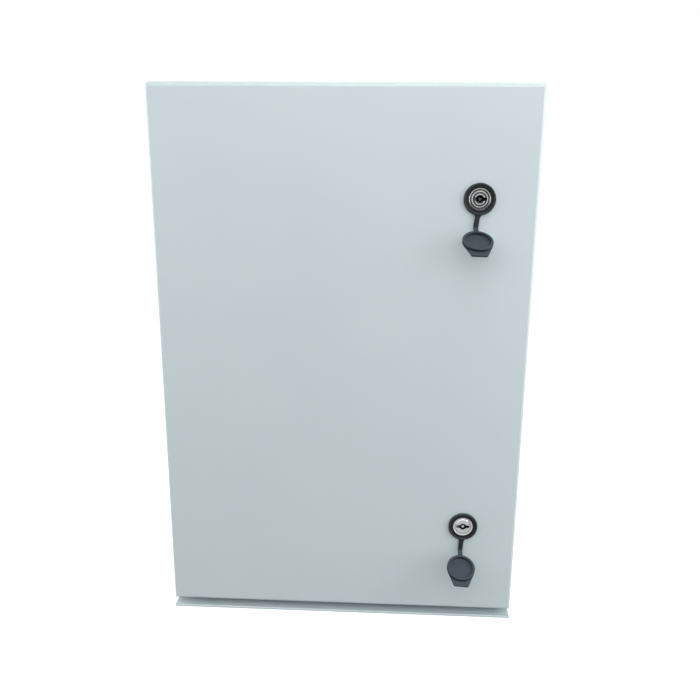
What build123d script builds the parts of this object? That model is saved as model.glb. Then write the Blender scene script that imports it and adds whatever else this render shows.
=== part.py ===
from build123d import *
import os
from math import cos, radians, sin

# Wall-mounted sheet-steel enclosure with one door and two quarter-turn locks, in millimetres.
# X runs to the right, Y towards the wall and Z up. The origin is the middle of the four
# wall-fixing holes, on the back face. Depths are measured forward from the wall.

# Every cut runs this far past the face that it opens
overrun = 1.0

# Body sheets
body_width = 400.0
body_height = 600.0
body_depth = 200.0
shell_sheet = 1.5
wrap_bend_radius = 3.0
lip_edge_radius = 0.6
top_lip_setback = 8.0
wall_hole_radius = 4.25
wall_hole_inset = 20.0

# Door frame with its sealing rim
frame_setback = 22.0
frame_width = 25.0
frame_sheet = 1.5
rim_height = 10.0
rim_corner_radius = 5.0

# Door pan
door_sheet = 1.5
door_depth = 20.0
door_top_gap = 0.6
door_bottom_gap = 9.0
door_bend_radius = 3.0

# Foam seal on the door
gasket_width = 14.0
gasket_gap = 0.3
gasket_edge_radius = 4.0

# Concealed hinges
hinge_end_inset = 93.5
hinge_axis_inset = 5.5
hinge_axis_setback = 10.0
hinge_pin_radius = 2.0
hinge_pin_fit = 0.05
hinge_pin_head_radius = 3.2
hinge_pin_head_height = 1.5
hinge_pin_tail = 2.0
knuckle_radius = 3.5
ear_length = 8.0
leaf_knuckle_length = 14.0
knuckle_gap = 0.3
bracket_sheet = 2.0
bracket_width = 15.5
bracket_arm_foot = 8.0
leaf_sheet = 2.0
leaf_inset = 2.0
leaf_reach = 10.0
notch_clearance = 1.5
notch_land = 4.0
hinge_screw_radius = 2.0
hinge_screw_clearance = 0.1
hinge_screw_head_radius = 3.4
hinge_screw_head_height = 1.8
hinge_screw_tail = 3.0
hinge_screw_spacing = 20.0
hinge_screw_inset = 11.8

# Mounting plate on its studs
plate_side_margin = 30.0
plate_end_margin = 30.0
plate_sheet = 2.0
plate_bend_radius = 3.0
plate_fold = 10.0
plate_standoff = 25.0
plate_stud_inset = 20.0
plate_stud_radius = 4.0
plate_stud_reach = 12.0
plate_hole_clearance = 0.5
spacer_radius = 7.0
spacer_fit = 0.1
plate_washer_radius = 8.0
plate_washer_sheet = 1.6
plate_nut_flats = 13.0
plate_nut_height = 6.5

# Cable opening with its plate
gland_opening_width = 240.0
gland_opening_depth = 90.0
gland_margin = 15.0
gland_corner_radius = 6.0
gland_sheet = 1.5
gland_gasket_sheet = 2.0
gland_stud_radius = 2.5
gland_stud_reach = 6.0
gland_hole_clearance = 0.4
gland_nut_flats = 8.0
gland_nut_height = 4.0

# Earth studs of body and door
earth_stud_radius = 3.0
earth_stud_length = 20.0
earth_stud_inset = 80.0
earth_washer_radius = 6.5
earth_washer_sheet = 1.2
earth_nut_flats = 10.0
earth_nut_height = 5.0
earth_fit = 0.1
door_earth_inset = 44.0
door_earth_height = 34.0

# Quarter-turn locks
lock_side_inset = 60.0
lock_top_inset = 111.0
lock_bottom_inset = 107.3
lock_head_radius = 14.0
lock_head_height = 1.5
lock_head_edge = 0.3
lock_rim_radius = 10.8
lock_rim_slope = 45.0
lock_face_sink = 0.5
barrel_radius = 11.0
barrel_flats = 20.0
barrel_clearance = 0.25
lock_nut_flats = 27.0
lock_nut_height = 5.0
lock_nut_fit = 0.1
core_head_radius = 8.9
core_head_length = 9.0
core_shank_radius = 6.9
core_fit = 0.05
core_end_play = 0.2
core_edge = 0.7
key_recess_radius = 3.7
key_slot_length = 15.2
key_slot_width = 3.5
key_depth = 6.5
key_pin_radius = 1.5
key_pin_setback = 0.8
drive_square = 8.0
drive_fit = 0.1
drive_setback = 0.2
cam_reach = 48.0
cam_width = 18.0
cam_hub_radius = 10.0
cam_sheet = 3.0
cam_tip_radius = 4.0
cam_clearance = 0.5
cam_play = 0.3
cam_washer_radius = 7.0
cam_washer_sheet = 1.2
cam_screw_radius = 3.0
cam_screw_length = 9.0
cam_screw_flats = 10.0
cam_screw_head_height = 4.0

# Rubber ring, strap and dust cap of each lock
ring_radius = 16.4
ring_height = 3.0
ring_edge = 0.9
ring_bore_radius = 11.2
ring_pocket_clearance = 0.1
bead_radius = 12.5
bead_height = 1.2
bead_edge = 0.4
groove_radius = 14.8
groove_width = 0.7
groove_depth = 0.5
strap_width = 5.2
strap_thickness = 1.8
strap_standoff = 0.5
strap_root = 1.5
strap_bend_radius = 5.0
strap_split = 0.3
cap_lean = 3.4
cap_tilt = 60.0
fold_out = 2.5
fold_drop = 25.4
cap_radius = 15.7
cap_height = 4.6
cap_recess_depth = 3.0
cap_clearance = 0.3
cap_edge = 0.6
tab_reach = 6.3
tab_tip_width = 16.0
tab_thickness = 1.8
tab_corner_radius = 1.0

# Places that follow from these sizes
half_width = body_width / 2
half_height = body_height / 2
inner_width = body_width - 2 * shell_sheet
inner_height = body_height - 2 * shell_sheet
top_depth = body_depth - top_lip_setback
frame_front = body_depth - frame_setback
frame_back = frame_front - frame_sheet
opening_width = inner_width - 2 * frame_width - 2 * frame_sheet
opening_height = inner_height - 2 * frame_width - 2 * frame_sheet
door_width = body_width
door_top = half_height - shell_sheet - door_top_gap
door_bottom = shell_sheet + door_bottom_gap - half_height
door_height = door_top - door_bottom
door_middle = (door_top + door_bottom) / 2
door_back = body_depth - door_depth
door_inside = body_depth - door_sheet
gasket_front = frame_front + rim_height + gasket_gap
hinge_x = hinge_axis_inset - door_width / 2
hinge_depth = body_depth - hinge_axis_setback
hinge_length = 2 * ear_length + 2 * knuckle_gap + leaf_knuckle_length
hinge_heights = {"upper": door_top - hinge_end_inset, "lower": door_bottom + hinge_end_inset}
plate_width = body_width - 2 * plate_side_margin
plate_height = body_height - 2 * plate_end_margin
plate_back = shell_sheet + plate_standoff
plate_front = plate_back + plate_sheet
plate_stud_x = plate_width / 2 - plate_stud_inset
plate_stud_z = plate_height / 2 - plate_stud_inset
gland_middle = frame_back / 2
gland_floor = shell_sheet - half_height
gland_top = gland_floor + gland_gasket_sheet + gland_sheet
lock_x = door_width / 2 - lock_side_inset
lock_heights = {"upper": door_top - lock_top_inset, "lower": door_bottom + lock_bottom_inset}
lock_face = body_depth + lock_head_height
cam_front = frame_back - cam_clearance
cam_back = cam_front - cam_sheet
barrel_back = cam_front + cam_play
pocket_radius = lock_head_radius + ring_pocket_clearance
pocket_depth = lock_head_height + ring_pocket_clearance
bead_top = ring_height + bead_height
recess_radius = bead_radius + cap_clearance
recess_floor = cap_height - cap_recess_depth
fold_lift = ring_height + cap_clearance + cap_height - fold_out

os.makedirs("parts", exist_ok=True)


def save(piece, name):
    piece.part.label = name
    export_step(piece.part, f"parts/{name}.step")


# Body wrap: left side, back and right side, folded from one sheet
with BuildPart() as body_wrap:
    with BuildSketch(Plane.XY.offset(-inner_height / 2)):
        with BuildLine():
            FilletPolyline(
                (-half_width, -frame_front),
                (-half_width, 0),
                (half_width, 0),
                (half_width, -frame_front),
                radius=wrap_bend_radius,
            )
            offset(amount=shell_sheet, side=Side.RIGHT)
        make_face()
    extrude(amount=inner_height)
    with BuildSketch(Plane.XZ.offset(-overrun)):
        with GridLocations(body_width - 2 * wall_hole_inset, body_height - 2 * wall_hole_inset, 2, 2):
            Circle(wall_hole_radius)
    extrude(amount=shell_sheet + 2 * overrun, mode=Mode.SUBTRACT)
save(body_wrap, "body_wrap")

# Gland studs stand around the cable opening, three along each long side
gland_stud_places = [
    (column * (gland_opening_width + gland_margin) / 2, row * (gland_opening_depth + gland_margin) / 2)
    for column in (-1, 0, 1)
    for row in (-1, 1)
]

# Top and bottom panels: flat sheets welded on the wrap, their front edges left long as lips. The
# top lip ends a little behind the face of the door and the bottom lip is level with it.
with BuildPart() as top_panel:
    with BuildSketch(Plane.XY.offset(inner_height / 2)) as top_outline:
        with Locations((0, -top_depth / 2)):
            Rectangle(body_width, top_depth)
        fillet(top_outline.vertices().group_by(Axis.Y)[-1], wrap_bend_radius)
    extrude(amount=shell_sheet)
    fillet(top_panel.edges().filter_by(Axis.X).group_by(Axis.Y)[0], lip_edge_radius)
save(top_panel, "top_panel")

with BuildPart() as bottom_panel:
    with BuildSketch(Plane.XY.offset(-half_height)) as bottom_outline:
        with Locations((0, -body_depth / 2)):
            Rectangle(body_width, body_depth)
        fillet(bottom_outline.vertices().group_by(Axis.Y)[-1], wrap_bend_radius)
        with Locations((0, -gland_middle)):
            RectangleRounded(
                gland_opening_width, gland_opening_depth, gland_corner_radius, mode=Mode.SUBTRACT
            )
    extrude(amount=shell_sheet)
    fillet(bottom_panel.edges().filter_by(Axis.X).group_by(Axis.Y)[0], lip_edge_radius)
save(bottom_panel, "bottom_panel")

# Door frame: flat flange welded inside the shell, with a rim that turns forward round the opening
with BuildPart() as door_frame:
    with BuildSketch(Plane.XZ.offset(frame_back)):
        Rectangle(inner_width, inner_height)
        RectangleRounded(opening_width, opening_height, rim_corner_radius, mode=Mode.SUBTRACT)
    extrude(amount=frame_sheet)
    with BuildSketch(Plane.XZ.offset(frame_front)):
        RectangleRounded(
            opening_width + 2 * frame_sheet, opening_height + 2 * frame_sheet, rim_corner_radius + frame_sheet
        )
        RectangleRounded(opening_width, opening_height, rim_corner_radius, mode=Mode.SUBTRACT)
    extrude(amount=rim_height)
    with BuildSketch(Plane.XZ.offset(frame_back - overrun)):
        for height in hinge_heights.values():
            with Locations((hinge_x + hinge_screw_inset, height)):
                with GridLocations(0, hinge_screw_spacing, 1, 2):
                    Circle(hinge_screw_radius + hinge_screw_clearance)
    extrude(amount=frame_sheet + 2 * overrun, mode=Mode.SUBTRACT)
save(door_frame, "door_frame")

# Hinges: a cast bracket with two ears on the frame, a leaf on the door and a pin through both
for side, height in hinge_heights.items():
    hinge_foot = height - hinge_length / 2
    with BuildPart() as hinge_bracket:
        with BuildSketch(Plane.XY.offset(hinge_foot)):
            with Locations((hinge_x, -frame_front)):
                Rectangle(bracket_width, bracket_sheet, align=(Align.MIN, Align.MAX))
        extrude(amount=hinge_length)
        for ear_foot in (hinge_foot, hinge_foot + hinge_length - ear_length):
            with BuildSketch(Plane.XY.offset(ear_foot)):
                with BuildLine():
                    Polyline(
                        (hinge_x - knuckle_radius, -hinge_depth),
                        (hinge_x, -frame_front),
                        (hinge_x + bracket_arm_foot, -frame_front),
                        (hinge_x + knuckle_radius, -hinge_depth),
                        close=True,
                    )
                make_face()
                with Locations((hinge_x, -hinge_depth)):
                    Circle(knuckle_radius)
            extrude(amount=ear_length)
        with BuildSketch(Plane.XY.offset(hinge_foot - overrun)):
            with Locations((hinge_x, -hinge_depth)):
                Circle(hinge_pin_radius + hinge_pin_fit)
        extrude(amount=hinge_length + 2 * overrun, mode=Mode.SUBTRACT)
        with BuildSketch(Plane.XZ.offset(frame_front - overrun)):
            with Locations((hinge_x + hinge_screw_inset, height)):
                with GridLocations(0, hinge_screw_spacing, 1, 2):
                    Circle(hinge_screw_radius + hinge_screw_clearance)
        extrude(amount=bracket_sheet + 2 * overrun, mode=Mode.SUBTRACT)
    save(hinge_bracket, f"hinge_bracket_{side}")

    with BuildPart() as hinge_leaf:
        with BuildSketch(Plane.XY.offset(hinge_foot)):
            with Locations((hinge_x - leaf_inset, -door_inside)):
                Rectangle(leaf_inset + leaf_reach, leaf_sheet, align=(Align.MIN, Align.MIN))
        extrude(amount=hinge_length)
        with BuildSketch(Plane.XY.offset(height - leaf_knuckle_length / 2)):
            with BuildLine():
                Polyline(
                    (hinge_x - knuckle_radius, -hinge_depth),
                    (hinge_x - leaf_inset, -door_inside),
                    (hinge_x + leaf_reach, -door_inside),
                    (hinge_x + knuckle_radius, -hinge_depth),
                    close=True,
                )
            make_face()
            with Locations((hinge_x, -hinge_depth)):
                Circle(knuckle_radius)
        extrude(amount=leaf_knuckle_length)
        with BuildSketch(Plane.XY.offset(hinge_foot)):
            with Locations((hinge_x, -hinge_depth)):
                Circle(hinge_pin_radius + hinge_pin_fit)
        extrude(amount=hinge_length, mode=Mode.SUBTRACT)
    save(hinge_leaf, f"hinge_leaf_{side}")

    with BuildPart() as hinge_pin:
        with BuildSketch(Plane.XY.offset(hinge_foot - hinge_pin_tail)):
            with Locations((hinge_x, -hinge_depth)):
                Circle(hinge_pin_radius)
        extrude(amount=hinge_pin_tail + hinge_length)
        with BuildSketch(Plane.XY.offset(hinge_foot + hinge_length)):
            with Locations((hinge_x, -hinge_depth)):
                Circle(hinge_pin_head_radius)
        extrude(amount=hinge_pin_head_height)
    save(hinge_pin, f"hinge_pin_{side}")

# Hinge screws hold the brackets to the frame
with BuildPart() as hinge_screws:
    for height in hinge_heights.values():
        with BuildSketch(Plane.XZ.offset(frame_back - hinge_screw_tail)):
            with Locations((hinge_x + hinge_screw_inset, height)):
                with GridLocations(0, hinge_screw_spacing, 1, 2):
                    Circle(hinge_screw_radius)
        extrude(amount=hinge_screw_tail + frame_sheet + bracket_sheet)
        with BuildSketch(Plane.XZ.offset(frame_front + bracket_sheet)):
            with Locations((hinge_x + hinge_screw_inset, height)):
                with GridLocations(0, hinge_screw_spacing, 1, 2):
                    Circle(hinge_screw_head_radius)
        extrude(amount=hinge_screw_head_height)
save(hinge_screws, "hinge_screws")

# Mounting plate: galvanised sheet with its long edges folded back, on four studs
with BuildPart() as mounting_plate:
    with BuildSketch(Plane.XY.offset(-plate_height / 2)):
        with BuildLine():
            FilletPolyline(
                (-plate_width / 2, plate_fold - plate_front),
                (-plate_width / 2, -plate_front),
                (plate_width / 2, -plate_front),
                (plate_width / 2, plate_fold - plate_front),
                radius=plate_bend_radius,
            )
            offset(amount=plate_sheet, side=Side.LEFT)
        make_face()
    extrude(amount=plate_height)
    with BuildSketch(Plane.XZ.offset(plate_back - overrun)):
        with GridLocations(2 * plate_stud_x, 2 * plate_stud_z, 2, 2):
            Circle(plate_stud_radius + plate_hole_clearance)
    extrude(amount=plate_sheet + 2 * overrun, mode=Mode.SUBTRACT)
save(mounting_plate, "mounting_plate")

with BuildPart() as mounting_studs:
    with BuildSketch(Plane.XZ.offset(shell_sheet)):
        with GridLocations(2 * plate_stud_x, 2 * plate_stud_z, 2, 2):
            Circle(plate_stud_radius)
    extrude(amount=plate_standoff + plate_sheet + plate_stud_reach)
save(mounting_studs, "mounting_studs")

with BuildPart() as plate_spacers:
    with BuildSketch(Plane.XZ.offset(shell_sheet)):
        with GridLocations(2 * plate_stud_x, 2 * plate_stud_z, 2, 2):
            Circle(spacer_radius)
            Circle(plate_stud_radius + spacer_fit, mode=Mode.SUBTRACT)
    extrude(amount=plate_standoff)
save(plate_spacers, "plate_spacers")

with BuildPart() as plate_washers:
    with BuildSketch(Plane.XZ.offset(plate_front)):
        with GridLocations(2 * plate_stud_x, 2 * plate_stud_z, 2, 2):
            Circle(plate_washer_radius)
            Circle(plate_stud_radius + spacer_fit, mode=Mode.SUBTRACT)
    extrude(amount=plate_washer_sheet)
save(plate_washers, "plate_washers")

with BuildPart() as plate_nuts:
    with BuildSketch(Plane.XZ.offset(plate_front + plate_washer_sheet)):
        with GridLocations(2 * plate_stud_x, 2 * plate_stud_z, 2, 2):
            RegularPolygon(plate_nut_flats / 2, 6, major_radius=False)
            Circle(plate_stud_radius + spacer_fit, mode=Mode.SUBTRACT)
    extrude(amount=plate_nut_height)
save(plate_nuts, "plate_nuts")

# Gland plate: blank plate on a gasket over the cable opening, nutted on studs from inside
with BuildPart() as gland_gasket:
    with BuildSketch(Plane.XY.offset(gland_floor)):
        with Locations((0, -gland_middle)):
            RectangleRounded(
                gland_opening_width + 2 * gland_margin,
                gland_opening_depth + 2 * gland_margin,
                gland_corner_radius,
            )
            RectangleRounded(
                gland_opening_width, gland_opening_depth, gland_corner_radius, mode=Mode.SUBTRACT
            )
            with Locations(*gland_stud_places):
                Circle(gland_stud_radius + gland_hole_clearance, mode=Mode.SUBTRACT)
    extrude(amount=gland_gasket_sheet)
save(gland_gasket, "gland_gasket")

with BuildPart() as gland_plate:
    with BuildSketch(Plane.XY.offset(gland_floor + gland_gasket_sheet)):
        with Locations((0, -gland_middle)):
            RectangleRounded(
                gland_opening_width + 2 * gland_margin,
                gland_opening_depth + 2 * gland_margin,
                gland_corner_radius,
            )
            with Locations(*gland_stud_places):
                Circle(gland_stud_radius + gland_hole_clearance, mode=Mode.SUBTRACT)
    extrude(amount=gland_sheet)
save(gland_plate, "gland_plate")

with BuildPart() as gland_studs:
    with BuildSketch(Plane.XY.offset(gland_floor)):
        with Locations((0, -gland_middle)):
            with Locations(*gland_stud_places):
                Circle(gland_stud_radius)
    extrude(amount=gland_gasket_sheet + gland_sheet + gland_stud_reach)
save(gland_studs, "gland_studs")

with BuildPart() as gland_nuts:
    with BuildSketch(Plane.XY.offset(gland_top)):
        with Locations((0, -gland_middle)):
            with Locations(*gland_stud_places):
                RegularPolygon(gland_nut_flats / 2, 6, major_radius=False)
                Circle(gland_stud_radius + spacer_fit, mode=Mode.SUBTRACT)
    extrude(amount=gland_nut_height)
save(gland_nuts, "gland_nuts")

# Earth studs: one on the back below the mounting plate, one inside the door, each with washer and nut
earth_height = -(plate_height + inner_height) / 4
earth_points = {
    "earth": (shell_sheet, 1, earth_stud_inset - half_width, earth_height),
    "door_earth": (door_inside, -1, door_earth_inset - door_width / 2, door_bottom + door_earth_height),
}
for name, (root, forward, stud_x, stud_z) in earth_points.items():
    washer_root = root if forward > 0 else root - earth_washer_sheet
    nut_root = root + earth_washer_sheet if forward > 0 else washer_root - earth_nut_height
    with BuildPart() as earth_stud:
        with BuildSketch(Plane.XZ.offset(root)):
            with Locations((stud_x, stud_z)):
                Circle(earth_stud_radius)
        extrude(amount=forward * earth_stud_length)
    save(earth_stud, f"{name}_stud")

    with BuildPart() as earth_washer:
        with BuildSketch(Plane.XZ.offset(washer_root)):
            with Locations((stud_x, stud_z)):
                Circle(earth_washer_radius)
                Circle(earth_stud_radius + earth_fit, mode=Mode.SUBTRACT)
        extrude(amount=earth_washer_sheet)
    save(earth_washer, f"{name}_washer")

    with BuildPart() as earth_nut:
        with BuildSketch(Plane.XZ.offset(nut_root)):
            with Locations((stud_x, stud_z)):
                RegularPolygon(earth_nut_flats / 2, 6, major_radius=False)
                Circle(earth_stud_radius + earth_fit, mode=Mode.SUBTRACT)
        extrude(amount=earth_nut_height)
    save(earth_nut, f"{name}_nut")

# Door pan: front sheet with four returns, notched at the hinges and pierced for the locks
with BuildPart() as door_panel:
    with BuildSketch(Plane.XZ.offset(door_back)):
        with Locations((0, door_middle)):
            Rectangle(door_width, door_height)
    extrude(amount=door_depth)
    fillet(door_panel.faces().sort_by(Axis.Y)[0].edges(), door_bend_radius)
    offset(amount=-door_sheet, openings=door_panel.faces().sort_by(Axis.Y)[-1])
    with BuildSketch(Plane.XZ.offset(door_back - overrun)):
        for height in hinge_heights.values():
            with Locations((-door_width / 2, height)):
                Rectangle(2 * door_sheet, hinge_length + 2 * notch_clearance)
    extrude(amount=door_depth - notch_land + overrun, mode=Mode.SUBTRACT)
    for height in lock_heights.values():
        with BuildSketch(Plane.XZ.offset(door_inside - overrun)):
            with Locations((lock_x, height)):
                Circle(barrel_radius + barrel_clearance)
                Rectangle(
                    2 * barrel_radius + 2 * barrel_clearance,
                    barrel_flats + 2 * barrel_clearance,
                    mode=Mode.INTERSECT,
                )
        extrude(amount=door_sheet + 2 * overrun, mode=Mode.SUBTRACT)
save(door_panel, "door_panel")

# Door gasket: poured foam loop that closes on the rim of the frame
with BuildPart() as door_gasket:
    gasket_reach = gasket_width - frame_sheet
    with BuildSketch(Plane.XZ.offset(gasket_front)):
        RectangleRounded(
            opening_width + frame_sheet + gasket_width,
            opening_height + frame_sheet + gasket_width,
            rim_corner_radius + (frame_sheet + gasket_width) / 2,
        )
        RectangleRounded(
            opening_width - gasket_reach,
            opening_height - gasket_reach,
            rim_corner_radius,
            mode=Mode.SUBTRACT,
        )
    extrude(amount=door_inside - gasket_front)
    fillet(door_gasket.faces().sort_by(Axis.Y)[-1].edges(), gasket_edge_radius)
save(door_gasket, "door_gasket")

# Locks: housing with a raised rim, nut, turning core with its double-bit key recess, cam, washer
# and screw
for side, height in lock_heights.items():
    with BuildPart() as lock_housing:
        with BuildSketch(Plane.XZ.offset(body_depth)):
            with Locations((lock_x, height)):
                Circle(lock_head_radius)
        extrude(amount=lock_head_height)
        chamfer(lock_housing.faces().sort_by(Axis.Y)[0].edges(), lock_head_edge)
        with BuildSketch(Plane.XZ.offset(lock_face)):
            with Locations((lock_x, height)):
                Circle(lock_rim_radius)
        extrude(amount=-lock_face_sink, taper=lock_rim_slope, mode=Mode.SUBTRACT)
        with BuildSketch(Plane.XZ.offset(barrel_back)):
            with Locations((lock_x, height)):
                Circle(barrel_radius)
                Rectangle(2 * barrel_radius, barrel_flats, mode=Mode.INTERSECT)
        extrude(amount=body_depth - barrel_back)
        with BuildSketch(Plane.XZ.offset(barrel_back - overrun)):
            with Locations((lock_x, height)):
                Circle(core_shank_radius + core_fit)
        extrude(amount=lock_face - barrel_back + 2 * overrun, mode=Mode.SUBTRACT)
        with BuildSketch(Plane.XZ.offset(lock_face - core_head_length - core_end_play)):
            with Locations((lock_x, height)):
                Circle(core_head_radius + core_fit)
        extrude(amount=core_head_length + core_end_play + overrun, mode=Mode.SUBTRACT)
    save(lock_housing, f"{side}_lock_housing")

    with BuildPart() as lock_nut:
        with BuildSketch(Plane.XZ.offset(door_inside - lock_nut_height)):
            with Locations((lock_x, height)):
                RegularPolygon(lock_nut_flats / 2, 6, major_radius=False)
                Circle(barrel_radius + lock_nut_fit, mode=Mode.SUBTRACT)
        extrude(amount=lock_nut_height)
    save(lock_nut, f"{side}_lock_nut")

    with BuildPart() as lock_core:
        with BuildSketch(Plane.XZ.offset(lock_face - core_head_length)):
            with Locations((lock_x, height)):
                Circle(core_head_radius)
        extrude(amount=core_head_length)
        chamfer(lock_core.faces().sort_by(Axis.Y)[0].edges(), core_edge)
        with BuildSketch(Plane.XZ.offset(cam_front)):
            with Locations((lock_x, height)):
                Circle(core_shank_radius)
        extrude(amount=lock_face - core_head_length - cam_front)
        with BuildSketch(Plane.XZ.offset(cam_back + drive_setback)):
            with Locations((lock_x, height)):
                Rectangle(drive_square, drive_square)
        extrude(amount=cam_sheet - drive_setback)
        with BuildSketch(Plane.XZ.offset(lock_face - key_depth)):
            with Locations((lock_x, height)):
                Circle(key_recess_radius)
                SlotOverall(key_slot_length, key_slot_width)
        extrude(amount=key_depth + overrun, mode=Mode.SUBTRACT)
        with BuildSketch(Plane.XZ.offset(lock_face - key_depth)):
            with Locations((lock_x, height)):
                Circle(key_pin_radius)
        extrude(amount=key_depth - key_pin_setback)
        with BuildSketch(Plane.XZ.offset(cam_back)):
            with Locations((lock_x, height)):
                Circle(cam_screw_radius + core_fit)
        extrude(amount=cam_screw_length + overrun, mode=Mode.SUBTRACT)
    save(lock_core, f"{side}_lock_core")

    with BuildPart() as lock_cam:
        with BuildSketch(Plane.XZ.offset(cam_back)):
            with Locations((lock_x, height)):
                Circle(cam_hub_radius)
                with Locations((0, cam_reach / 2)):
                    RectangleRounded(cam_width, cam_reach, cam_tip_radius)
                Rectangle(
                    drive_square + 2 * drive_fit, drive_square + 2 * drive_fit, mode=Mode.SUBTRACT
                )
        extrude(amount=cam_sheet)
    save(lock_cam, f"{side}_lock_cam")

    with BuildPart() as cam_washer:
        with BuildSketch(Plane.XZ.offset(cam_back - cam_washer_sheet)):
            with Locations((lock_x, height)):
                Circle(cam_washer_radius)
                Circle(cam_screw_radius + core_fit, mode=Mode.SUBTRACT)
        extrude(amount=cam_washer_sheet)
    save(cam_washer, f"{side}_cam_washer")

    with BuildPart() as cam_screw:
        with BuildSketch(Plane.XZ.offset(cam_back - cam_washer_sheet - cam_screw_head_height)):
            with Locations((lock_x, height)):
                RegularPolygon(cam_screw_flats / 2, 6, major_radius=False)
        extrude(amount=cam_screw_head_height)
        with BuildSketch(Plane.XZ.offset(cam_back - cam_washer_sheet)):
            with Locations((lock_x, height)):
                Circle(cam_screw_radius)
        extrude(amount=cam_washer_sheet + cam_screw_length)
    save(cam_screw, f"{side}_cam_screw")

# Rubber rings and dust caps: ring and strap root stay on the lock, the cap folds on its strap.
# The whole moulding sits turned a little round the lock, and the cap hangs open, tilted outward.
tilt = radians(cap_tilt)
lean = radians(cap_lean)
strap_corner_run = (strap_standoff - fold_out + fold_lift * cos(tilt)) / sin(tilt)
strap_corner_drop = fold_drop + fold_lift * sin(tilt) + strap_corner_run * cos(tilt)
strap_foot_run = fold_drop - cap_radius + strap_root - strap_corner_run
for side, height in lock_heights.items():
    ring_plane = Plane((lock_x, -body_depth, height), x_dir=(cos(lean), 0, -sin(lean)), z_dir=(0, -1, 0))
    fold_point = ring_plane.from_local_coords((0, -fold_drop, fold_out))
    cap_normal = ring_plane.z_dir * cos(tilt) + ring_plane.y_dir * sin(tilt)
    cap_back = Plane(fold_point - cap_normal * fold_lift, x_dir=ring_plane.x_dir, z_dir=cap_normal)
    cap_middle = cap_back.from_local_coords((0, -fold_drop, 0))
    ring_section = Plane(ring_plane.origin, x_dir=ring_plane.x_dir, z_dir=-ring_plane.y_dir)
    cap_section = Plane(cap_middle, x_dir=ring_plane.x_dir, z_dir=-cap_back.y_dir)
    strap_side = Plane(ring_plane.origin, x_dir=ring_plane.z_dir, z_dir=-ring_plane.x_dir)

    with BuildPart() as cap_ring:
        with BuildSketch(ring_section):
            with BuildLine():
                Polyline(
                    (pocket_radius, 0),
                    (ring_radius, 0),
                    (ring_radius, ring_height - ring_edge),
                    (ring_radius - ring_edge, ring_height),
                    (groove_radius, ring_height),
                    (groove_radius, ring_height - groove_depth),
                    (groove_radius - groove_width, ring_height - groove_depth),
                    (groove_radius - groove_width, ring_height),
                    (bead_radius, ring_height),
                    (bead_radius, bead_top - bead_edge),
                    (bead_radius - bead_edge, bead_top),
                    (ring_bore_radius + bead_edge, bead_top),
                    (ring_bore_radius, bead_top - bead_edge),
                    (ring_bore_radius, pocket_depth),
                    (pocket_radius, pocket_depth),
                    close=True,
                )
            make_face()
        revolve(axis=Axis(ring_plane.origin, ring_plane.z_dir))
        with BuildSketch(ring_plane.offset(strap_standoff)):
            with Locations((0, -ring_radius + strap_root)):
                Rectangle(
                    strap_width,
                    fold_drop - strap_split / 2 - ring_radius + strap_root,
                    align=(Align.CENTER, Align.MAX),
                )
        extrude(amount=strap_thickness)
    save(cap_ring, f"{side}_cap_ring")

    with BuildPart() as dust_cap:
        with BuildSketch(cap_section):
            with BuildLine():
                Polyline(
                    (0, 0),
                    (cap_radius - cap_edge, 0),
                    (cap_radius, cap_edge),
                    (cap_radius, cap_height - cap_edge),
                    (cap_radius - cap_edge, cap_height),
                    (recess_radius, cap_height),
                    (recess_radius, recess_floor),
                    (0, recess_floor),
                    close=True,
                )
            make_face()
        revolve(axis=Axis(cap_middle, cap_normal))
        with BuildSketch(cap_back) as tab_outline:
            with BuildLine():
                Polyline(
                    (-cap_radius, -fold_drop),
                    (cap_radius, -fold_drop),
                    (tab_tip_width / 2, -fold_drop - cap_radius - tab_reach),
                    (-tab_tip_width / 2, -fold_drop - cap_radius - tab_reach),
                    close=True,
                )
            make_face()
            fillet(tab_outline.vertices().group_by(Axis.Y)[0], tab_corner_radius)
        extrude(amount=tab_thickness)
        with BuildSketch(strap_side):
            with BuildLine():
                FilletPolyline(
                    (strap_standoff, -fold_drop - strap_split / 2),
                    (strap_standoff, -strap_corner_drop),
                    (
                        strap_standoff + strap_foot_run * sin(tilt),
                        -strap_corner_drop - strap_foot_run * cos(tilt),
                    ),
                    radius=strap_bend_radius,
                )
                offset(amount=strap_thickness, side=Side.LEFT)
            make_face()
        extrude(amount=strap_width / 2, both=True)
    save(dust_cap, f"{side}_dust_cap")
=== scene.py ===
import math

import bpy
from mathutils import Matrix, Vector


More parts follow.
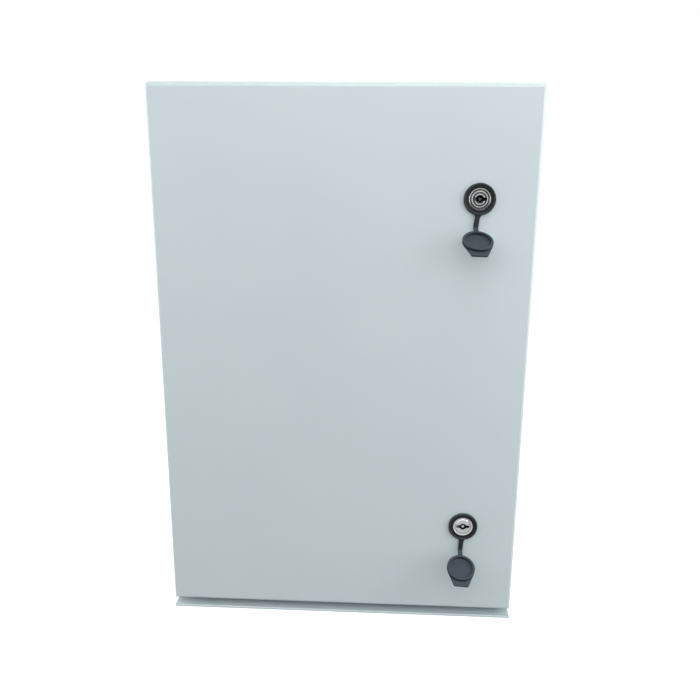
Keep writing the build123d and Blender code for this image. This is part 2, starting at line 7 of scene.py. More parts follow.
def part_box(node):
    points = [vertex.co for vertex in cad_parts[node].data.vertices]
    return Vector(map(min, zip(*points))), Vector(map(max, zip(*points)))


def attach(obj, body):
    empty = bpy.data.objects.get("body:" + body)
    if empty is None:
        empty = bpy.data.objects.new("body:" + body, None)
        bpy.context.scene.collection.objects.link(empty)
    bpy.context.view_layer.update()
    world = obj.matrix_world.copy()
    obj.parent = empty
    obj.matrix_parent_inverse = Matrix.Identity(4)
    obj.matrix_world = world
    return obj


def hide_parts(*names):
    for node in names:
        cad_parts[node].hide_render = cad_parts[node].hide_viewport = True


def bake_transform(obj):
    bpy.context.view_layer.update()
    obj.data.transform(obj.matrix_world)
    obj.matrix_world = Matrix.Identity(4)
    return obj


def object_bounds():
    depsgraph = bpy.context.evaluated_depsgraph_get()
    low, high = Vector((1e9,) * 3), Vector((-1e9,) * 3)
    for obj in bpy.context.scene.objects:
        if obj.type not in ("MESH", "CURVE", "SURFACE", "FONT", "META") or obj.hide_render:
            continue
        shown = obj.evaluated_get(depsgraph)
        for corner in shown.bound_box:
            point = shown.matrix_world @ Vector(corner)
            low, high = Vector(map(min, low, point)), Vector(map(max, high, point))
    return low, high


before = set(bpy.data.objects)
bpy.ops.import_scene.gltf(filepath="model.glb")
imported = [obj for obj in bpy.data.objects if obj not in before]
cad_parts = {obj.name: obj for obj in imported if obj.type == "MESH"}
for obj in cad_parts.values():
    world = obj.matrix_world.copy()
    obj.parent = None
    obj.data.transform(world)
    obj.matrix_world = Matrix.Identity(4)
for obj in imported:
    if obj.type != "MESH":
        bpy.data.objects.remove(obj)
cad_low, cad_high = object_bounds()


# Shell of the body: one steel sheet folded into the left side, back and right side, with a top
# and a bottom sheet welded on and a door frame welded inside. All of it is powder coated in a
# light grey that dries with a fine, slightly pebbled skin.
class Value:
    """A socket in a finish. Sums and products of values add Math nodes."""

    def __init__(self, tree, socket):
        self.tree = tree
        self.socket = socket

    def node(self, kind, settings=None, sockets=None, output=0):
        """Adds a node: its settings first, then the values or links of its sockets."""
        made = self.tree.nodes.new(kind)
        for name, setting in (settings or {}).items():
            setattr(made, name, setting)
        for name, given in (sockets or {}).items():
            if isinstance(given, Value):
                self.tree.links.new(given.socket, made.inputs[name])
            else:
                made.inputs[name].default_value = given
        return Value(self.tree, made.outputs[output])

    def maths(self, operation, first, second):
        return self.node("ShaderNodeMath", {"operation": operation}, {0: first, 1: second})

    def __add__(self, other):
        return self.maths("ADD", self, other)

    def __radd__(self, other):
        return self.maths("ADD", other, self)

    def __sub__(self, other):
        return self.maths("SUBTRACT", self, other)

    def __rsub__(self, other):
        return self.maths("SUBTRACT", other, self)

    def __mul__(self, other):
        return self.maths("MULTIPLY", self, other)

    def __rmul__(self, other):
        return self.maths("MULTIPLY", other, self)

    def __pow__(self, other):
        return self.maths("POWER", self, other)

    def sides(self):
        """The X, Y and Z of a place."""
        parts = self.node("ShaderNodeSeparateXYZ", {}, {0: self}).socket.node.outputs
        return [Value(self.tree, part) for part in parts]

    def ramp(self, low, high):
        """Zero up to the low value, one from the high value on, and smooth between."""
        sockets = {"Value": self, "From Min": low, "From Max": high}
        return self.node("ShaderNodeMapRange", {"interpolation_type": "SMOOTHSTEP"}, sockets)

    def into(self, shader, name):
        self.tree.links.new(self.socket, shader.inputs[name])


def shade(red, green, blue):
    """A colour as a screen shows it, from 0 to 255, in the renderer's own scale."""
    return tuple(((c / 255 + 0.055) / 1.055) ** 2.4 for c in (red, green, blue)) + (1.0,)


def start_finish(name, metallic=0.0):
    """A new material, its shader, and the place on the surface in metres."""
    material = bpy.data.materials.new(name)
    material.use_nodes = True
    tree = material.node_tree
    shader = tree.nodes["Principled BSDF"]
    shader.inputs["Metallic"].default_value = metallic
    place = Value(tree, tree.nodes.new("ShaderNodeTexCoord").outputs["Object"])
    return material, shader, place


def grain(place, scale, detail=2.0):
    """Noise between 0 and 1 with that many cells to the metre."""
    return place.node("ShaderNodeTexNoise", {}, {"Vector": place, "Scale": scale, "Detail": detail})


def mix_colours(share, first, second):
    """Between two colours, by a share from 0 to 1."""
    return share.node("ShaderNodeMix", {"data_type": "RGBA"}, {0: share, 6: first, 7: second}, 2)


def press_in(height, shader, depth, strength=1.0):
    """Gives the surface a relief of that depth, in metres."""
    sockets = {"Height": height, "Distance": depth, "Strength": strength}
    height.node("ShaderNodeBump", {}, sockets).into(shader, "Normal")


def wear(finish, *nodes):
    """Puts a finish on nodes of the frame."""
    for name in nodes:
        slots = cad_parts[name].data.materials
        slots.clear()
        slots.append(finish)


coat_dull = shade(192, 204, 207)
coat_bright = shade(198, 210, 212)
pebble_depth = 0.00006
shell_paint, coat, place = start_finish("shell_paint")
cloudiness = grain(place, 7.0, 3.0)
pebbles = grain(place, 900.0)
fine_pebbles = grain(place, 2600.0, 1.0)
mix_colours(cloudiness, coat_dull, coat_bright).into(coat, "Base Color")
(0.36 + 0.1 * cloudiness + 0.06 * pebbles).into(coat, "Roughness")
press_in(pebbles + 0.4 * fine_pebbles, coat, pebble_depth, 0.5)
wear(shell_paint, "body_wrap", "top_panel", "bottom_panel", "door_frame")


# Cable opening in the bottom: a blank steel plate on a soft gasket, held by nuts on studs that
# are welded to the bottom sheet. The plate has the shell's coat, the gasket is punched from a
# sheet of closed-cell foam and the fixings are plated with bright zinc.
MM = 0.001
thread_rows = 4
thread_points = 24
groove_share = 0.6
hexagon_face_share = 0.97
hexagon_slope = math.radians(30)
bore_lead = 0.3 * MM
crease_angle = math.radians(25)


def skin(name, loops, ends="filled"):
    """A mesh over loops of points: its ends are filled, or joined to each other."""
    count = len(loops[0])
    points = [point for loop in loops for point in loop]
    rows = len(loops) if ends == "joined" else len(loops) - 1
    faces = []
    for row in range(rows):
        low = row * count
        high = (row + 1) % len(loops) * count
        for i in range(count):
            j = (i + 1) % count
            faces.append((low + i, low + j, high + j, high + i))
    if ends == "filled":
        faces.append(tuple(reversed(range(count))))
        faces.append(tuple(range(len(points) - count, len(points))))
    mesh = bpy.data.meshes.new(name)
    mesh.from_pydata(points, [], faces)
    return mesh


def circle(radius, height, count=48):
    """A loop of points round the Z axis; radius and height may change with the angle."""
    turns = [math.tau * i / count for i in range(count)]
    radii = [radius(turn) if callable(radius) else radius for turn in turns]
    heights = [height(turn) if callable(height) else height for turn in turns]
    return [Vector((r * math.cos(t), r * math.sin(t), h)) for r, t, h in zip(radii, turns, heights)]


def thread(name, radius, pitch, length):
    """A threaded stud along Z from zero, with a bevelled tip."""
    rows = round(thread_rows * length / pitch)

    def crest(level, turn):
        phase = (level / pitch - turn / math.tau) % 1.0
        groove = groove_share * pitch * (1 - abs(2 * phase - 1))
        bevel = max(0.0, level - length + pitch)
        return radius - max(groove, bevel)

    loops = []
    for row in range(rows + 1):
        level = length * row / rows
        loops.append(circle(lambda turn: crest(level, turn), level, thread_points))
    return skin(name, loops)


def hexagon(name, flats, height, bore=0.0, shank=None):
    """A hexagon with its corners turned off: a nut with a bore, or a head on a shank."""
    face = hexagon_face_share * flats / 2

    def outline(turn):
        return flats / 2 / math.cos(turn % (math.pi / 3) - math.pi / 6)

    def turned_off(turn):
        return (outline(turn) - face) * math.tan(hexagon_slope)

    loops = [
        circle(face, 0.0),
        circle(outline, turned_off),
        circle(outline, lambda turn: height - turned_off(turn)),
        circle(face, height),
    ]
    if shank:
        radius, length = shank
        loops = [circle(radius, -length), circle(radius, 0.0)] + loops
        return skin(name, loops)
    loops += [
        circle(bore + bore_lead, height),
        circle(bore, height - bore_lead),
        circle(bore, bore_lead),
        circle(bore + bore_lead, 0.0),
    ]
    return skin(name, loops, ends="joined")


UPWARD, FORWARD, BACKWARD = 0.0, 90.0, -90.0


def stand(mesh, feet, direction):
    """One object with a copy of the mesh standing on each foot."""
    turn = Matrix.Rotation(math.radians(direction), 4, "X")
    points = []
    faces = []
    for foot in feet:
        base = len(points)
        points += [turn @ vertex.co + Vector(foot) for vertex in mesh.vertices]
        faces += [[base + i for i in polygon.vertices] for polygon in mesh.polygons]
    group = bpy.data.meshes.new(mesh.name + "_group")
    group.from_pydata(points, [], faces)
    group.shade_smooth()
    group.set_sharp_from_angle(angle=crease_angle)
    piece = bpy.data.objects.new(mesh.name, group)
    bpy.context.scene.collection.objects.link(piece)
    return piece


def fit(piece, finish, slot, body, *nodes):
    """Gives a piece its finish and its body, and lets it stand for nodes of the frame."""
    piece.data.materials.append(finish)
    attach(piece, body)
    if nodes:
        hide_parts(*nodes)


foam_dark = shade(38, 39, 42)
foam_light = shade(54, 55, 58)
foam_depth = 0.18 * MM
seal_foam, foam, place = start_finish("seal_foam")
cells = place.node("ShaderNodeTexVoronoi", {}, {"Vector": place, "Scale": 1800.0})
lumps = grain(place, 240.0)
mix_colours(lumps, foam_dark, foam_light).into(foam, "Base Color")
(0.8 + 0.15 * cells).into(foam, "Roughness")
press_in(cells + lumps, foam, foam_depth)

zinc_cool = shade(196, 199, 204)
zinc_warm = shade(214, 214, 210)
scuff_depth = 0.02 * MM
zinc_plate, zinc, place = start_finish("zinc_plate", 1.0)
bloom = grain(place, 160.0, 3.0)
scuffs = grain(place, 1500.0)
mix_colours(bloom, zinc_cool, zinc_warm).into(zinc, "Base Color")
(0.22 + 0.2 * bloom).into(zinc, "Roughness")
press_in(scuffs, zinc, scuff_depth, 0.4)

wear(seal_foam, "gland_gasket")
wear(shell_paint, "gland_plate")

gland_thread = 2.5 * MM
gland_pitch = 0.8 * MM
gland_flats = 8.0 * MM
nut_clearance = 0.1 * MM
stud_low, stud_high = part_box("gland_studs")
nut_low, nut_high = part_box("gland_nuts")
gland_columns = (stud_low.x + gland_thread, 0.0, stud_high.x - gland_thread)
gland_rows = (stud_low.y + gland_thread, stud_high.y - gland_thread)
gland_places = [(x, y) for x in gland_columns for y in gland_rows]
gland_studs = stand(
    thread("gland_stud_threads", gland_thread, gland_pitch, stud_high.z - stud_low.z),
    [(x, y, stud_low.z) for x, y in gland_places],
    UPWARD,
)
gland_bore = gland_thread + nut_clearance
gland_nuts = stand(
    hexagon("gland_nut_hexagons", gland_flats, nut_high.z - nut_low.z, gland_bore),
    [(x, y, nut_low.z) for x, y in gland_places],
    UPWARD,
)
fit(gland_studs, zinc_plate, "zinc_fixings", "cabinet", "gland_studs")
fit(gland_nuts, zinc_plate, "zinc_fixings", "cabinet", "gland_nuts")


# Lip edges: the front edges of the top and bottom sheets are rolled round before they are coated,
# so that no raw edge is left. The top one is a low, sloping edge behind the door's bend and the
# bottom one an upright bead in front of the gap under the door.
top_roll_depth = 2.6 * MM
top_roll_reach = 1.6 * MM
top_roll_drop = 0.3 * MM
bottom_roll_height = 2.6 * MM
bottom_roll_radius = 0.9 * MM
bottom_roll_corner = 0.3 * MM
bottom_roll_reach = 1.6 * MM
bottom_roll_run = 6.0 * MM
bottom_roll_fall = 60
roll_overlap = 0.1 * MM
roll_steps = 12


def top_roll():
    """Section of the top edge, Y and Z: a quarter of an ellipse that leans back from the door."""
    low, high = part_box("top_panel")
    front = low.y - top_roll_reach
    base = low.z - top_roll_drop
    rise = high.z - base
    section = [
        (front, base),
        (low.y + top_roll_reach, base),
        (low.y + 2 * top_roll_reach, low.z + roll_overlap),
        (low.y + top_roll_reach, high.z - roll_overlap),
    ]
    for step in range(roll_steps):
        turn = math.pi / 2 * step / roll_steps
        y = front + top_roll_depth * (1 - math.sin(turn))
        section.append((y, base + rise * math.cos(turn)))
    return section


def bottom_roll():
    """Section of the bottom edge, Y and Z: an upright front that bends over and falls back."""
    low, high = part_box("bottom_panel")
    front = low.y - bottom_roll_reach
    back = front + bottom_roll_run
    base = low.z + roll_overlap / 2
    bend_height = base + bottom_roll_height - bottom_roll_radius
    section = [(back, low.z + roll_overlap), (back, high.z - roll_overlap)]
    bends = (
        (bottom_roll_radius, bend_height, bottom_roll_fall, 180),
        (bottom_roll_corner, base + bottom_roll_corner, 180, 270),
    )
    for radius, height, first, last in bends:
        for step in range(roll_steps + 1):
            turn = math.radians(first + (last - first) * step / roll_steps)
            y = front + radius + radius * math.cos(turn)
            section.append((y, height + radius * math.sin(turn)))
    return section


for name, section in (("top_lip_edge", top_roll()), ("bottom_lip_edge", bottom_roll())):
    ends = (cad_low.x + roll_overlap / 2, cad_high.x - roll_overlap / 2)
    edge = skin(name, [[Vector((x, y, z)) for y, z in section] for x in ends])
    fit(stand(edge, [(0.0, 0.0, 0.0)], UPWARD), shell_paint, "shell_paint", "cabinet")


# Mounting plate: galvanised sheet with its long edges folded back, on spacer tubes over four
# threaded studs that are welded to the back. Washers and nuts clamp it.
spangle_dark = shade(176, 182, 186)
spangle_light = shade(206, 210, 212)
spangle_depth = 0.02 * MM
galvanised_sheet, galvanised, place = start_finish("galvanised_sheet", 1.0)
spangles = place.node("ShaderNodeTexVoronoi", {}, {"Vector": place, "Scale": 95.0}, 1)
tone = spangles.node("ShaderNodeRGBToBW", {}, {0: spangles})
stains = grain(place, 26.0, 4.0)
mix_colours(tone, spangle_dark, spangle_light).into(galvanised, "Base Color")
(0.3 + 0.12 * tone + 0.16 * stains).into(galvanised, "Roughness")
press_in(tone + stains, galvanised, spangle_depth, 0.5)
wear(galvanised_sheet, "mounting_plate")
wear(zinc_plate, "plate_spacers", "plate_washers")

plate_thread = 4.0 * MM
plate_pitch = 1.25 * MM
plate_flats = 13.0 * MM
stud_low, stud_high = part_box("mounting_studs")
nut_low, nut_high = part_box("plate_nuts")
plate_places = [
    (x, z)
    for x in (stud_low.x + plate_thread, stud_high.x - plate_thread)
    for z in (stud_low.z + plate_thread, stud_high.z - plate_thread)
]
plate_studs = stand(
    thread("mounting_stud_threads", plate_thread, plate_pitch, stud_high.y - stud_low.y),
    [(x, stud_high.y, z) for x, z in plate_places],
    FORWARD,
)
plate_bore = plate_thread + nut_clearance
plate_nuts = stand(
    hexagon("plate_nut_hexagons", plate_flats, nut_high.y - nut_low.y, plate_bore),
    [(x, nut_high.y, z) for x, z in plate_places],
    FORWARD,
)
fit(plate_studs, zinc_plate, "zinc_fixings", "cabinet", "mounting_studs")
fit(plate_nuts, zinc_plate, "zinc_fixings", "cabinet", "plate_nuts")


# Earth points: a brass stud on the back below the mounting plate and one inside the door, each
# with a zinc-plated washer and nut that clamp nothing yet.
brass_dark = shade(196, 160, 92)
brass_light = shade(222, 190, 122)
earth_brass, brass, place = start_finish("earth_brass", 1.0)
tarnish = grain(place, 300.0, 3.0)
mix_colours(tarnish, brass_dark, brass_light).into(brass, "Base Color")
(0.2 + 0.22 * tarnish).into(brass, "Roughness")
wear(zinc_plate, "earth_washer", "door_earth_washer")

earth_thread = 3.0 * MM
earth_pitch = 1.0 * MM
earth_flats = 10.0 * MM
earth_bore = earth_thread + nut_clearance
for name, body, direction in (("earth", "cabinet", FORWARD), ("door_earth", "door", BACKWARD)):
    stud_low, stud_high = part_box(name + "_stud")
    nut_low, nut_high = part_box(name + "_nut")
    middle = (stud_low + stud_high) / 2
    root = stud_high.y if direction == FORWARD else stud_low.y
    nut_foot = nut_high.y if direction == FORWARD else nut_low.y
    earth_stud = stand(
        thread(name + "_stud_thread", earth_thread, earth_pitch, stud_high.y - stud_low.y),
        [(middle.x, root, middle.z)],
        direction,
    )
    earth_nut = stand(
        hexagon(name + "_nut_hexagon", earth_flats, nut_high.y - nut_low.y, earth_bore),
        [(middle.x, nut_foot, middle.z)],
        direction,
    )
    fit(earth_stud, earth_brass, "earth_brass", body, name + "_stud")
    fit(earth_nut, zinc_plate, "zinc_fixings", body, name + "_nut")


# Door: a steel pan with four folded returns in the shell's coat, and a seal of poured foam round
# its inner face that closes on the rim of the frame.
wear(shell_paint, "door_panel")
wear(seal_foam, "door_gasket")


# Hinges: plated steel castings, a bracket with two ears on the frame and a leaf welded in the
# door, on a plated steel pin. Two round-headed screws hold each bracket.
casting_dark = shade(168, 170, 172)
casting_light = shade(190, 191, 192)
sand_depth = 0.08 * MM
hinge_casting, casting, place = start_finish("hinge_casting", 1.0)
sand = grain(place, 1100.0, 3.0)
flow = grain(place, 90.0)
mix_colours(flow, casting_dark, casting_light).into(casting, "Base Color")
(0.42 + 0.2 * sand).into(casting, "Roughness")
press_in(sand, casting, sand_depth, 0.6)
for side in ("upper", "lower"):
    wear(hinge_casting, "hinge_bracket_" + side, "hinge_leaf_" + side)
    wear(zinc_plate, "hinge_pin_" + side)

screw_head = 3.4 * MM
screw_head_height = 1.8 * MM
screw_head_shares = ((1.0, 0.0), (1.0, 0.45), (0.95, 0.7), (0.82, 0.88), (0.62, 0.98))
screw_shank = 2.0 * MM
screw_spacing = 20.0 * MM
recess_size = 1.35 * MM
recess_lobe_count = 6
recess_lobe_height = 0.2 * MM
recess_depth = 1.1 * MM


def lobes(turn):
    """Radius of the lobed recess in a screw's head."""
    return recess_size + recess_lobe_height * math.cos(recess_lobe_count * turn)


screw_low, screw_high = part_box("hinge_screws")
screw_tip = screw_low.y - screw_high.y + screw_head_height
screw_loops = [circle(screw_shank, screw_tip), circle(screw_shank, 0.0)]
for width_share, height_share in screw_head_shares:
    screw_loops.append(circle(screw_head * width_share, screw_head_height * height_share))
screw_loops.append(circle(lobes, screw_head_height))
screw_loops.append(circle(lobes, screw_head_height - recess_depth))
screw_x = (screw_low.x + screw_high.x) / 2
lowest = screw_low.z + screw_head
highest = screw_high.z - screw_head
screw_heights = (lowest, lowest + screw_spacing, highest - screw_spacing, highest)
hinge_screws = stand(
    skin("hinge_screw_heads", screw_loops),
    [(screw_x, screw_low.y + screw_head_height, z) for z in screw_heights],
    FORWARD,
)
fit(hinge_screws, zinc_plate, "zinc_fixings", "cabinet", "hinge_screws")


# Locks: a plated housing through the door with a large nut behind, and a core that turns in it
# with a recess for a double-bit key, with painted shade that deepens into the recess and is less
# on its left wing. Both have turned rings on their faces, with painted shade on the lower half of
# the housing's rim. The core drives a pressed steel cam, held by a washer and a hexagon screw.
lock_flats = 27.0 * MM
lock_barrel = 11.1 * MM
cam_screw_flats = 10.0 * MM
cam_screw_shank = 3.0 * MM
cam_screw_head = 4.0 * MM
turned_radius = 10.65 * MM
turned_spacing = 2.77 * MM
turned_depth = 0.02 * MM
plating_dull = shade(186, 188, 190)
plating_bright = shade(214, 214, 213)
# Painted shade in the keyway, darker the deeper it goes, with less of it on the left wing.
keyway_shade_colour = shade(52, 51, 50)
keyway_shade_start = 0.4 * MM
keyway_shade_full = 2.5 * MM
lit_wing_share = {"upper": 0.35, "lower": 0.85}
lit_wing_start = 2.6 * MM
lit_wing_full = 4.2 * MM
# Painted shade on the lower half of the housing's rim, stronger on the upper lock.
rim_shade_colour = shade(84, 82, 82)
rim_shade_share = {"upper": 0.9, "lower": 0.25}
rim_shade_drop = 7.0 * MM
rim_shade_start = 9.7 * MM
rim_shade_full = 10.3 * MM
for side in ("upper", "lower"):
    core_low, core_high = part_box(side + "_lock_core")
    middle = (core_low + core_high) / 2
    lock_plate, plated, place = start_finish(side + "_lock_plate", 1.0)
    place_x, place_y, place_z = place.sides()
    across = place_x - middle.x
    upward = place_z - middle.z
    radius = (across * across + upward * upward) ** 0.5
    rings = radius.maths("COSINE", math.tau / turned_spacing * (radius - turned_radius), 0.0)
    frosted = rings.ramp(0.1, 0.8)
    # Less painted shade on the keyway's left wing, so that it shows lighter.
    lit_wing = lit_wing_share[side] * (0.0 - across).ramp(lit_wing_start, lit_wing_full)
    # Painted shade in the keyway: darker the deeper it goes from the face.
    deep = place_y.ramp(core_low.y + keyway_shade_start, core_low.y + keyway_shade_full)
    keyway_shade = deep * (1 - lit_wing)
    # Painted shade on the lower half of the housing's rim.
    low_half = (0.0 - upward).ramp(0.0, rim_shade_drop)
    painted_rim_shade = rim_shade_share[side] * low_half * radius.ramp(rim_shade_start, rim_shade_full)
    smudges = grain(place, 420.0, 3.0)
    bare = mix_colours(smudges, plating_dull, plating_bright)
    rim_shaded = mix_colours(painted_rim_shade, bare, rim_shade_colour)
    mix_colours(keyway_shade, rim_shaded, keyway_shade_colour).into(plated, "Base Color")
    (0.12 + 0.1 * smudges + 0.3 * frosted + 0.4 * keyway_shade + 0.3 * painted_rim_shade).into(plated, "Roughness")
    press_in(rings, plated, turned_depth)
    wear(lock_plate, side + "_lock_housing", side + "_lock_core")
    wear(zinc_plate, side + "_lock_cam", side + "_cam_washer")

    nut_low, nut_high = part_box(side + "_lock_nut")
    lock_nut = stand(
        hexagon(side + "_lock_nut_hexagon", lock_flats, nut_high.y - nut_low.y, lock_barrel),
        [(middle.x, nut_low.y, middle.z)],
        BACKWARD,
    )
    fit(lock_nut, zinc_plate, "zinc_fixings", "door", side + "_lock_nut")
    screw_low, screw_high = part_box(side + "_cam_screw")
    shank = (cam_screw_shank, screw_high.y - screw_low.y - cam_screw_head)
    cam_screw = stand(
        hexagon(side + "_cam_screw_hexagon", cam_screw_flats, cam_screw_head, shank=shank),
        [(middle.x, screw_high.y - cam_screw_head, middle.z)],
        BACKWARD,
    )
    fit(cam_screw, zinc_plate, "zinc_fixings", side + "_lock", side + "_cam_screw")


# Dust caps: one black rubber moulding on each lock, a ring round the lock's head with a strap
# and a cap with a pull tab, dusty and with painted light from above where it faces up, and with
# painted shade in the ring's valley. The strap folds, so the cap hangs open, tilted outward, and
# the whole moulding sits turned a little round the lock.
rubber_dark = shade(20, 25, 33)
rubber_light = shade(31, 37, 45)
# Lighter where the rubber faces up: dust, and painted light from above.
dust_and_top_light_colour = shade(50, 58, 66)
# Painted shade, near black, in the ring's valley round the lock's head.
valley_shade_colour = shade(7, 9, 12)
rubber_depth = 0.03 * MM
cap_rubber, rubber, place = start_finish("cap_rubber")
rubber_skin = grain(place, 2200.0)
handling = grain(place, 130.0, 3.0)
# Dust and painted light from above: lighter the more a face points up.
dust_and_top_light = place.node("ShaderNodeNewGeometry", output="Normal").sides()[2].ramp(0.3, 0.85)
clean = mix_colours(handling, rubber_dark, rubber_light)
dusty_top_lit = mix_colours(dust_and_top_light, clean, dust_and_top_light_colour)
# Painted shade in the ring's valley, from a mark on the moulding's points.
painted_valley_shade = place.node("ShaderNodeAttribute", {"attribute_name": "painted_valley_shade"}, output="Fac")
mix_colours(painted_valley_shade, dusty_top_lit, valley_shade_colour).into(rubber, "Base Color")
(0.46 + 0.14 * handling + 0.06 * rubber_skin + 0.2 * painted_valley_shade).into(rubber, "Roughness")
rubber.inputs["Specular IOR Level"].default_value = 0.35
press_in(rubber_skin, rubber, rubber_depth, 0.5)

# Radius and height along the sections of the ring and the cap, in millimetres.
ring_section = (
    (14.1, 0.0), (16.1, 0.0), (16.4, 0.25), (16.4, 1.7), (16.2, 2.4), (15.8, 2.85),
    (15.4, 3.0), (14.9, 2.95), (14.5, 2.7), (14.25, 2.3), (13.9, 2.05), (13.3, 1.98),
    (12.2, 1.95), (11.5, 1.95), (11.3, 1.9), (11.2, 1.8), (11.2, 1.6), (14.1, 1.6),
)
cap_section = (
    (14.7, 0.0), (15.4, 0.15), (15.7, 0.6), (15.7, 3.8), (15.5, 4.3), (15.05, 4.6),
    (13.7, 4.6), (13.1, 4.4), (12.85, 4.0), (12.8, 2.0), (12.5, 1.68), (11.9, 1.6),
    (9.8, 1.6), (9.5, 1.68), (9.2, 1.75),
)
round_points = 96
# Radius inside which the ring gets its painted valley shade.
valley_shade_edge = 14.3 * MM
cap_tilt = math.radians(60.0)
cap_lean = math.radians(3.4)
fold = Vector((0.0, -25.4, 2.5)) * MM
fold_lift = 5.4 * MM
fold_drop = 25.4 * MM
cap_radius = 15.7 * MM
strap_width = 5.2 * MM
strap_thickness = 1.8 * MM
strap_middle = 1.4 * MM
strap_bend = 4.1 * MM
strap_corner = 0.55 * MM
strap_top = -15.0 * MM
strap_step = 0.6 * MM
strap_in_ring = 1.4 * MM
strap_in_cap = 2.0 * MM
strap_bend_steps = 8
strap_corner_steps = 3
strap_bow = {"upper": 1.0 * MM, "lower": 0.1 * MM}
flare = 1.1 * MM
flare_length = 2.5 * MM
tab_root = 0.8 * cap_radius
tab_tip = (8.0 * MM, -22.0 * MM)
tab_corner = 1.2 * MM
tab_corner_shares = ((0.35, 1.0), (0.0, 0.25), (-1.0, 0.0))
tab_thickness = 1.8 * MM
tab_rounding = 0.4 * MM
tab_edge_rows = ((1, 0.0), (0, 0.4), (0, 0.6), (1, 1.0))
tab_turn = {"upper": math.radians(3.4), "lower": 0.0}
moulding_crease = math.radians(38)


def fuse(name, meshes):
    """One closed skin round closed meshes that reach into each other."""
    solids = [bpy.data.objects.new(name, mesh) for mesh in meshes]
    for solid in solids:
        bpy.context.scene.collection.objects.link(solid)
    for other in solids[1:]:
        union = solids[0].modifiers.new("union", "BOOLEAN")
        union.operation = "UNION"
        union.solver = "EXACT"
        union.object = other
    bpy.context.view_layer.update()
    graph = bpy.context.evaluated_depsgraph_get()
    joined = bpy.data.meshes.new_from_object(solids[0].evaluated_get(graph))
    for solid in solids:
        bpy.data.objects.remove(solid)
    joined.shade_smooth()
    joined.set_sharp_from_angle(angle=moulding_crease)
    piece = bpy.data.objects.new(name, joined)
    bpy.context.scene.collection.objects.link(piece)
    return piece


def strap_course():
    """Points along the strap's middle with their direction: down the door, round and outward."""
    outward = Vector((0.0, -math.cos(cap_tilt), math.sin(cap_tilt)))
    inner_side = Vector((0.0, math.sin(cap_tilt), math.cos(cap_tilt)))
    foot = fold - inner_side * (fold_lift - strap_thickness / 2)
    reach = (strap_middle - foot.z) / outward.z
    corner = foot + outward * reach
    tangent = strap_bend * math.tan(cap_tilt / 2)
    down = Vector((0.0, -1.0, 0.0))
    course = []
    level = strap_top
    while level > corner.y + tangent:
        course.append((Vector((0.0, level, strap_middle)), down))
        level -= strap_step
    centre = Vector((0.0, corner.y + tangent, strap_middle + strap_bend))
    for step in range(strap_bend_steps + 1):
        turn = cap_tilt * step / strap_bend_steps
        point = centre + strap_bend * Vector((0.0, -math.sin(turn), -math.cos(turn)))
        course.append((point, Vector((0.0, -math.cos(turn), math.sin(turn)))))
    length = fold_drop - cap_radius + strap_in_cap - reach
    run = tangent + strap_step
    while run < length:
        course.append((corner + outward * run, outward))
        run += strap_step
    return course


def strap_loops(bow):
    """Rounded rectangles across the strap, which bows a little and widens into ring and cap."""
    course = strap_course()
    travelled = [0.0]
    for (a, _), (b, _) in zip(course, course[1:]):
        travelled.append(travelled[-1] + (b - a).length)
    loops = []
    for (point, direction), run in zip(course, travelled):
        near_end = min(run - strap_in_ring, travelled[-1] - strap_in_cap - run)
        width = strap_width / 2 + flare * max(0.0, 1 - max(0.0, near_end) / flare_length) ** 2
        thick = strap_thickness / 2
        shift = -bow * math.sin(math.pi * run / travelled[-1])
        normal = Vector((0.0, direction.z, -direction.y))
        loop = []
        for side_x, side_y, first in ((1, 1, 0), (-1, 1, 90), (-1, -1, 180), (1, -1, 270)):
            for step in range(strap_corner_steps + 1):
                turn = math.radians(first + 90 * step / strap_corner_steps)
                x = side_x * (width - strap_corner) + strap_corner * math.cos(turn)
                y = side_y * (thick - strap_corner) + strap_corner * math.sin(turn)
                loop.append(point + Vector((x + shift, 0.0, 0.0)) + normal * y)
        loops.append(loop)
    return loops


def tab_loops():
    """The pull tab's outline, from where it leaves the cap's round to a straight tip."""
    tip_x, tip_y = tab_tip
    touch = math.atan2(tip_y, tip_x) + math.acos(cap_radius / math.hypot(tip_x, tip_y))
    outline = [(tab_root, 0.0), (cap_radius * math.cos(touch), cap_radius * math.sin(touch))]
    outline += [(tip_x + x * tab_corner, tip_y + y * tab_corner) for x, y in tab_corner_shares]
    outline += [(-x, y) for x, y in reversed(outline)]
    middle = Vector((0.0, tip_y / 2, 0.0))
    loops = []
    for inset, height in tab_edge_rows:
        level = height * tab_thickness
        loop = []
        for x, y in reversed(outline):
            point = Vector((x, y, 0.0))
            point -= (point - middle).normalized() * tab_rounding * inset
            loop.append(point + Vector((0.0, 0.0, level)))
        loops.append(loop)
    return loops


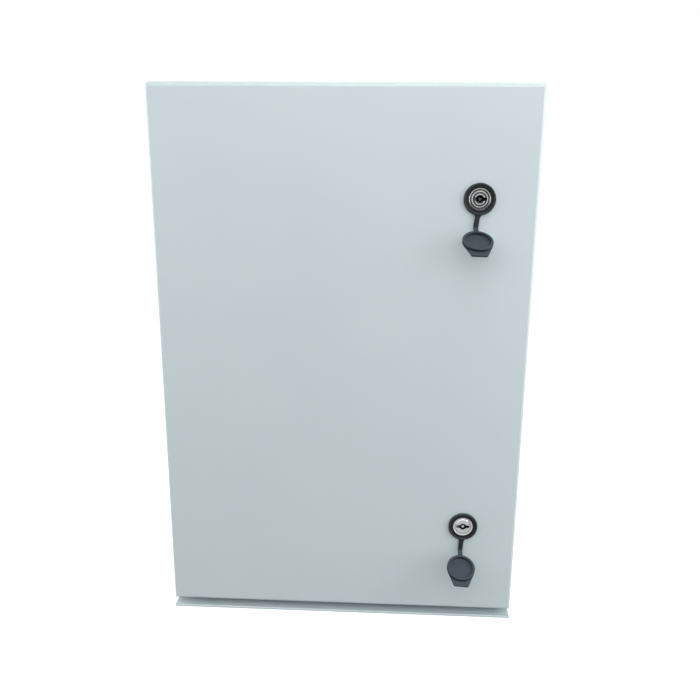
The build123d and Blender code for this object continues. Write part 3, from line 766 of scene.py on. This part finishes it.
for side in ("upper", "lower"):
    core_low, core_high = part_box(side + "_lock_core")
    door_low, door_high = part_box("door_panel")
    centre = Vector(((core_low.x + core_high.x) / 2, door_low.y, (core_low.z + core_high.z) / 2))
    seat = Matrix.Translation(centre) @ Matrix((
        (math.cos(cap_lean), math.sin(cap_lean), 0.0, 0.0),
        (0.0, 0.0, -1.0, 0.0),
        (-math.sin(cap_lean), math.cos(cap_lean), 0.0, 0.0),
        (0.0, 0.0, 0.0, 1.0),
    ))
    cap_seat = Matrix.Translation(fold) @ Matrix.Rotation(-cap_tilt, 4, "X")
    cap_seat = cap_seat @ Matrix.Translation((0.0, -fold_drop, -fold_lift))
    ring_loops = [circle(r * MM, h * MM, round_points) for r, h in ring_section]
    ring = skin(side + "_ring", ring_loops, ends="joined")
    strap = skin(side + "_strap", strap_loops(strap_bow[side]))
    cap = skin(side + "_cap", [circle(r * MM, h * MM, round_points) for r, h in cap_section])
    tab = skin(side + "_tab", tab_loops())
    cap.transform(cap_seat)
    tab.transform(cap_seat @ Matrix.Rotation(tab_turn[side], 4, "Z"))
    moulding = fuse(side + "_cap_moulding", [ring, strap, cap, tab])
    # Marks the points of the ring's valley for its painted shade.
    valley_shade_mask = moulding.data.attributes.new("painted_valley_shade", "FLOAT", "POINT")
    for vertex, share in zip(moulding.data.vertices, valley_shade_mask.data):
        share.value = float(vertex.co.xy.length < valley_shade_edge)
    moulding.data.transform(seat)
    moulding.data.materials.clear()
    moulding.data.materials.append(cap_rubber)
    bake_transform(moulding)
    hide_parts(side + "_cap_ring", side + "_dust_cap")


# Studio: a pale floor and an even, pale surround, with soft lamps in front, above, at both sides
# and behind. A card behind the camera is dark in reflections and white to the camera, which
# stands in front, a little to the right, and looks down on the door.
surround_light = 0.15


def rays(tree, kind):
    """One for that kind of ray and zero for the others."""
    path = tree.nodes.new("ShaderNodeLightPath")
    return Value(tree, path.outputs["Is " + kind + " Ray"])


def panel(name, corners, finish):
    """A flat sheet of the studio."""
    mesh = bpy.data.meshes.new(name)
    mesh.from_pydata(corners, [], [(0, 1, 2, 3)])
    mesh.materials.append(finish)
    sheet = bpy.data.objects.new(name, mesh)
    bpy.context.scene.collection.objects.link(sheet)


floor_finish, floor_shader, _ = start_finish("floor_finish")
floor_shader.inputs["Base Color"].default_value = shade(156, 157, 159)
floor_shader.inputs["Roughness"].default_value = 0.9
floor_shader.inputs["Emission Strength"].default_value = 0.9
seen = rays(floor_finish.node_tree, "Camera") + 0.45 * rays(floor_finish.node_tree, "Glossy")
seen.into(floor_shader, "Emission Color")
floor_reach = 8.0
floor_level = cad_low.z
floor_corners = [(-1, -1), (1, -1), (1, 1), (-1, 1)]
floor_points = [(x * floor_reach, y * floor_reach, floor_level) for x, y in floor_corners]
panel("floor", floor_points, floor_finish)

card_finish, card_shader, _ = start_finish("card_finish")
card_shader.inputs["Base Color"].default_value = shade(58, 60, 66)
card_shader.inputs["Roughness"].default_value = 0.8
card_shader.inputs["Emission Strength"].default_value = 1.0
rays(card_finish.node_tree, "Camera").into(card_shader, "Emission Color")
card_y = -1.9
card_sides = (-1.2, 1.6)
card_heights = (floor_level, 0.8)
card_corners = [(0, 0), (1, 0), (1, 1), (0, 1)]
card_points = [(card_sides[i], card_y, card_heights[j]) for i, j in card_corners]
panel("card", card_points, card_finish)

surround = bpy.data.worlds.new("surround")
bpy.context.scene.world = surround
surround.use_nodes = True
sky = surround.node_tree.nodes["Background"]
seen = rays(surround.node_tree, "Camera") + rays(surround.node_tree, "Glossy")
(surround_light + (1 - surround_light) * seen).into(sky, "Color")


def soft_light(name, width, height, power, place, target):
    """A rectangular lamp that faces a point."""
    lamp_data = bpy.data.lights.new(name, "AREA")
    lamp_data.shape = "RECTANGLE"
    lamp_data.size = width
    lamp_data.size_y = height
    lamp_data.energy = power
    lamp = bpy.data.objects.new(name, lamp_data)
    lamp.location = place
    lamp.rotation_euler = (Vector(target) - lamp.location).to_track_quat("-Z", "Y").to_euler()
    bpy.context.scene.collection.objects.link(lamp)


soft_light("key_light", 5.0, 1.2, power=21.5, place=(0.2, -1.0, 1.1), target=(0.0, -0.3, 0.2))
soft_light("front_light", 2.2, 0.6, power=7.0, place=(0.1, -1.6, 0.65), target=(0.0, -0.2, 0.1))
soft_light("top_light", 1.2, 0.6, power=3.6, place=(0.1, -0.2, 1.1), target=(0.0, -0.2, 0.3))
soft_light("right_light", 1.2, 1.6, power=18.0, place=(1.3, -0.55, 0.1), target=(0.2, -0.15, 0.0))
soft_light("left_light", 0.8, 1.2, power=7.2, place=(-1.0, -0.25, 0.1), target=(-0.2, -0.15, 0.0))
soft_light("back_light", 1.6, 0.8, power=9.0, place=(0.0, 1.3, 0.7), target=(0.0, 0.0, 0.1))

camera_place = (0.0464, -0.98805, 0.23874)
yaw = math.radians(2.743)
pitch = math.radians(15.188)
roll = math.radians(-0.463)
focal_share = 753.4 / 700
forward = Vector((
    -math.sin(yaw) * math.cos(pitch),
    math.cos(yaw) * math.cos(pitch),
    -math.sin(pitch),
))
right = Vector((math.cos(yaw), math.sin(yaw), 0.0))
down = forward.cross(right)
camera_right = math.cos(roll) * right + math.sin(roll) * down
camera_down = math.cos(roll) * down - math.sin(roll) * right
camera_data = bpy.data.cameras.new("camera")
camera_data.sensor_width = 36.0
camera_data.lens = focal_share * camera_data.sensor_width
camera = bpy.data.objects.new("camera", camera_data)
axes = Matrix((camera_right, -camera_down, -forward)).transposed().to_4x4()
camera.matrix_world = Matrix.Translation(camera_place) @ axes
bpy.context.scene.collection.objects.link(camera)
bpy.context.scene.camera = camera
bpy.context.scene.view_settings.view_transform = "Standard"
